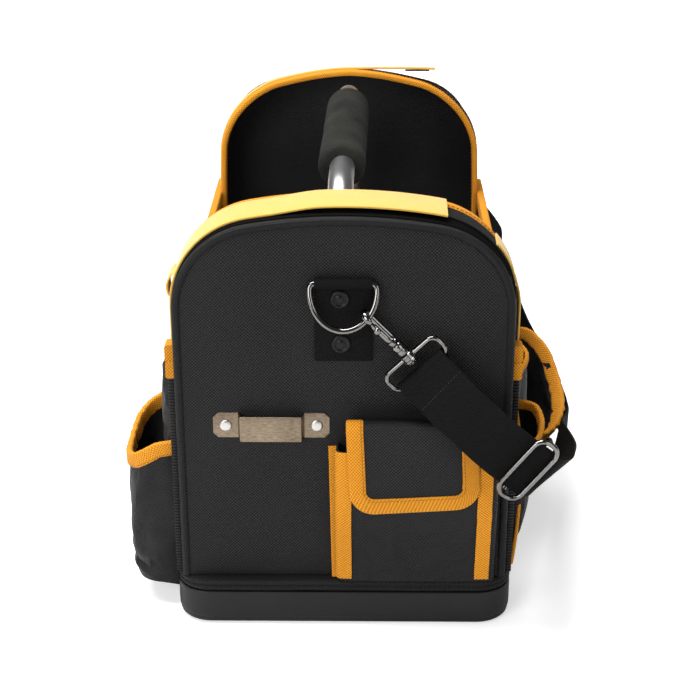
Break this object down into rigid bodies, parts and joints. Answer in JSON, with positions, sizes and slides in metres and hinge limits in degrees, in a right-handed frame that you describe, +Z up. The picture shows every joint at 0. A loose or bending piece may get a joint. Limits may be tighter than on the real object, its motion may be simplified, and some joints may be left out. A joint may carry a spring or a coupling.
{
  "type": "tool tote bag",
  "caption": "Open-top fabric tool tote with arched end panels, a moulded base, a steel tube handle with a foam grip, outside pouches and a hooked shoulder strap.",
  "frame": {"origin": "middle of the underside of the base, on the plane the bag rests on", "axes": "+Z up, +Y from the front end with the flapped pouch towards the rear end, +X towards the wall the strap hangs along"},
  "size_m": [0.3504, 0.5342, 0.3295],
  "materials": {
    "ballistic": "coarse diagonal weave with a coated sheen",
    "lining": "plain weave",
    "binding": "woven edge tape",
    "webbing": "ribbed webbing",
    "tape": "napped and hooked tape",
    "moulded": "fine moulded grain",
    "board": "plain sheet",
    "foam": "closed-cell foam skin",
    "chrome": "bright plate",
    "nickel": "dark nickel plate",
    "clip_steel": "warm nickel plate"
  },
  "bodies": {
    "bag": {"base_tray": "moulded", "base_welt": "webbing", "floor_board": "board", "front_panel": "ballistic", "rear_panel": "ballistic", "front_piping": "tape", "rear_piping": "tape", "front_hood": "lining", "rear_hood": "lining", "front_hood_binding": "binding", "rear_hood_binding": "binding", "right_wall": "ballistic", "left_wall": "ballistic", "right_wall_binding": "binding", "left_wall_binding": "binding", "front_top_strap": "binding", "rear_top_strap": "binding", "front_loop_tape": "tape", "rear_loop_tape": "tape", "handle_tube": "chrome", "foam_grip": "foam", "front_handle_socket": "nickel", "rear_handle_socket": "nickel", "front_ring_tab": "webbing", "rear_ring_tab": "webbing", "strap_front": "webbing", "strap_main": "webbing", "tape_clip": "clip_steel", "clip_rivet_left": "nickel", "clip_rivet_right": "nickel", "front_pouch": "ballistic", "pouch_band_left": "binding", "pouch_band_right": "binding", "flap_top": "ballistic", "left_front_pouch": "ballistic", "left_front_pouch_binding": "binding", "left_rear_pouch": "ballistic", "left_rear_pouch_binding": "binding", "left_upper_pouch": "ballistic", "right_small_pouch": "ballistic", "right_small_pouch_binding": "binding", "right_large_pouch": "ballistic", "right_large_pouch_binding": "binding", "right_upper_pouch": "ballistic"},
    "flap": {"pouch_flap": "ballistic", "pouch_flap_binding": "binding"},
    "front_tail": {"front_strap_tail": "binding", "front_hook_tape": "tape"},
    "rear_tail": {"rear_strap_tail": "binding", "rear_hook_tape": "tape"},
    "front_ring_body": {"front_ring": "nickel", "front_swivel_eye": "nickel"},
    "front_hook_body": {"front_hook": "nickel"},
    "front_gate_body": {"front_gate": "nickel"},
    "rear_ring_body": {"rear_ring": "nickel", "rear_swivel_eye": "nickel"},
    "rear_hook_body": {"rear_hook": "nickel"},
    "rear_gate_body": {"rear_gate": "nickel"},
    "slider": {"strap_slider": "nickel"}
  },
  "joints": [
    {"name": "flap_lift", "type": "hinge", "parent": "bag", "child": "flap", "pos_m": [0.0485, -0.24895, 0.176], "axis": [-1, 0, 0], "range_deg": [0, 120], "deforming": ["strap_front"]},
    {"name": "front_tail_peel", "type": "hinge", "parent": "bag", "child": "front_tail", "pos_m": [-0.0539, -0.2037, 0.31767], "axis": [0, -0.997, -0.0773], "range_deg": [0, 110]},
    {"name": "rear_tail_peel", "type": "hinge", "parent": "bag", "child": "rear_tail", "pos_m": [-0.00541, 0.2037, 0.32142], "axis": [0, -0.9967, 0.0815], "range_deg": [0, 110]},
    {"name": "front_ring_lift", "type": "hinge", "parent": "bag", "child": "front_ring_body", "pos_m": [0, -0.23345, 0.272], "axis": [-1, 0, 0], "range_deg": [0, 60], "deforming": ["strap_front"]},
    {"name": "front_hook_swivel", "type": "hinge", "parent": "front_ring_body", "child": "front_hook_body", "pos_m": [0.01252, -0.24066, 0.25473], "axis": [0.6947, 0, -0.7193], "range_deg": [-35, 10]},
    {"name": "front_gate_press", "type": "hinge", "parent": "front_hook_body", "child": "front_gate_body", "pos_m": [0.03093, -0.24586, 0.23567], "axis": [-0.7193, 0, -0.6947], "range_deg": [0, 20], "stiffness_Nm_per_rad": 0.02, "springref_deg": -8.59},
    {"name": "rear_ring_lift", "type": "hinge", "parent": "bag", "child": "rear_ring_body", "pos_m": [0, 0.23345, 0.272], "axis": [1, 0, 0], "range_deg": [0, 60], "deforming": ["strap_main"]},
    {"name": "rear_hook_swivel", "type": "hinge", "parent": "rear_ring_body", "child": "rear_hook_body", "pos_m": [0.01252, 0.24066, 0.25473], "axis": [-0.6947, 0, 0.7193], "range_deg": [-35, 10]},
    {"name": "rear_gate_press", "type": "hinge", "parent": "rear_hook_body", "child": "rear_gate_body", "pos_m": [0.03093, 0.24586, 0.23567], "axis": [0.7193, 0, 0.6947], "range_deg": [0, 20], "stiffness_Nm_per_rad": 0.02, "springref_deg": -8.59},
    {"name": "slider_slide", "type": "slide", "parent": "bag", "child": "slider", "axis": [0.7787, 0.0403, -0.6261], "range_m": [-0.028, 0], "deforming": ["strap_front"]}
  ]
}
